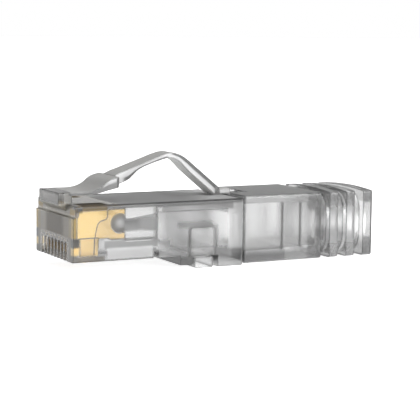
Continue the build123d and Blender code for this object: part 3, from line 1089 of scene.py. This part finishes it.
class PLUG_OT_set_stage(bpy.types.Operator):
    """Make the pale table, the soft studio light and the camera"""

    bl_idname = "plug.set_stage"
    bl_label = "Set Stage"

    def execute(self, context):
        studio = context.scene.plug_studio
        self.make_table(context, studio)
        self.make_room(context, studio)
        self.make_softbox(context, studio)
        self.make_camera(context, studio)
        context.scene.view_settings.view_transform = "Standard"
        return {"FINISHED"}

    def make_table(self, context, studio):
        half = studio.floor_size / 2
        mesh = bpy.data.meshes.new("table_top")
        corners = [(-half, -half, 0), (half, -half, 0), (half, half, 0), (-half, half, 0)]
        mesh.from_pydata(corners, [], [(0, 1, 2, 3)])
        table = bpy.data.objects.new("table_top", mesh)
        context.scene.collection.objects.link(table)
        material, shader = new_material("pale_table")
        grain = noise(material, object_place(material), scale=60.0, detail=3.0)
        tone = studio.floor_colour
        dim = [channel * 0.985 for channel in tone]
        colour = ramp(material, grain, 0.3, 0.7, dim, tone)
        material.node_tree.links.new(colour, shader.inputs["Base Color"])
        material.node_tree.links.new(colour, shader.inputs["Emission Color"])
        shader.inputs["Emission Strength"].default_value = studio.floor_glow
        shader.inputs["Roughness"].default_value = TABLE_ROUGHNESS
        shader.inputs["Specular IOR Level"].default_value = TABLE_SHINE
        mesh.materials.append(material)

    def make_room(self, context, studio):
        world = context.scene.world or bpy.data.worlds.new("studio_room")
        context.scene.world = world
        world.use_nodes = True
        tree = world.node_tree
        tree.nodes.clear()
        output = tree.nodes.new("ShaderNodeOutputWorld")
        background = tree.nodes.new("ShaderNodeBackground")
        place = tree.nodes.new("ShaderNodeTexCoord")
        split = tree.nodes.new("ShaderNodeSeparateXYZ")
        tone = tree.nodes.new("ShaderNodeValToRGB")
        tree.links.new(place.outputs["Generated"], split.inputs["Vector"])
        tree.links.new(split.outputs["Z"], tone.inputs["Fac"])
        tree.links.new(tone.outputs["Color"], background.inputs["Color"])
        tree.links.new(background.outputs["Background"], output.inputs["Surface"])
        levels = [
            (HORIZON_END, studio.horizon_light),
            (WALL_START, studio.room_light),
            (WALL_END, studio.room_light),
            (CEILING_START, studio.ceiling_light),
        ]
        stops = tone.color_ramp.elements
        while len(stops) < len(levels):
            stops.new(0.5)
        for stop, (height, light) in zip(stops, levels):
            stop.position = math.sin(math.radians(height))
            stop.color = opaque(light)

    def make_softbox(self, context, studio):
        light = bpy.data.lights.new("front_softbox", "AREA")
        light.shape = "RECTANGLE"
        light.size = SOFTBOX_WIDTH
        light.size_y = SOFTBOX_HEIGHT
        light.energy = studio.front_power
        lamp = bpy.data.objects.new("front_softbox", light)
        lamp.location = SOFTBOX_PLACE
        lamp.rotation_mode = "QUATERNION"
        lamp.rotation_quaternion = (-Vector(SOFTBOX_PLACE)).to_track_quat("-Z", "Y")
        context.scene.collection.objects.link(lamp)

    def make_camera(self, context, studio):
        turn = studio.camera_turn
        lift = studio.camera_height
        back = Vector((
            -math.sin(turn) * math.cos(lift),
            -math.cos(turn) * math.cos(lift),
            math.sin(lift),
        ))
        level = (-back).cross(Vector((0, 0, 1))).normalized()
        upright = level.cross(-back)
        roll = studio.camera_roll
        right = level * math.cos(roll) + upright * math.sin(roll)
        up = upright * math.cos(roll) - level * math.sin(roll)
        data = bpy.data.cameras.new("photo_camera")
        data.lens = studio.lens
        data.sensor_width = SENSOR_WIDTH_MM
        data.clip_start = NEAREST_VIEW
        data.clip_end = FURTHEST_VIEW
        camera = bpy.data.objects.new("photo_camera", data)
        turned = Matrix((right, up, back)).transposed().to_4x4()
        turned.translation = Vector(studio.camera_target) + back * studio.camera_distance
        camera.matrix_world = turned
        context.scene.collection.objects.link(camera)
        context.scene.camera = camera


class PLUG_PT_sidebar(bpy.types.Panel):
    """Lists the pieces of the plug and the studio"""

    bl_idname = "PLUG_PT_sidebar"
    bl_label = "Modular Plug"
    bl_space_type = "VIEW_3D"
    bl_region_type = "UI"
    bl_category = "Plug"

    def draw(self, context):
        layout = self.layout
        for step in STEPS:
            layout.operator(step.bl_idname)
        for group in ("plug_plastic", "plug_metal", "plug_studio"):
            settings = getattr(context.scene, group)
            column = layout.column(align=True)
            for name in settings.bl_rna.properties.keys():
                if name not in ("rna_type", "name"):
                    column.prop(settings, name)


STEPS = [
    PLUG_OT_set_stage,
    PLUG_OT_finish_housing,
    PLUG_OT_finish_guide,
    PLUG_OT_finish_blades,
    PLUG_OT_finish_boot,
    PLUG_OT_finish_latch,
]
GROUPS = {
    "plug_plastic": PlugPlasticSettings,
    "plug_metal": PlugMetalSettings,
    "plug_studio": PlugStudioSettings,
}


def register():
    for name, group in GROUPS.items():
        bpy.utils.register_class(group)
        setattr(bpy.types.Scene, name, PointerProperty(type=group))
    for step in STEPS:
        bpy.utils.register_class(step)
    bpy.utils.register_class(PLUG_PT_sidebar)


def unregister():
    bpy.utils.unregister_class(PLUG_PT_sidebar)
    for step in reversed(STEPS):
        bpy.utils.unregister_class(step)
    for name, group in reversed(GROUPS.items()):
        delattr(bpy.types.Scene, name)
        bpy.utils.unregister_class(group)


def main():
    register()
    for step in STEPS:
        group, name = step.bl_idname.split(".")
        getattr(getattr(bpy.ops, group), name)()


if __name__ == "__main__":
    main()
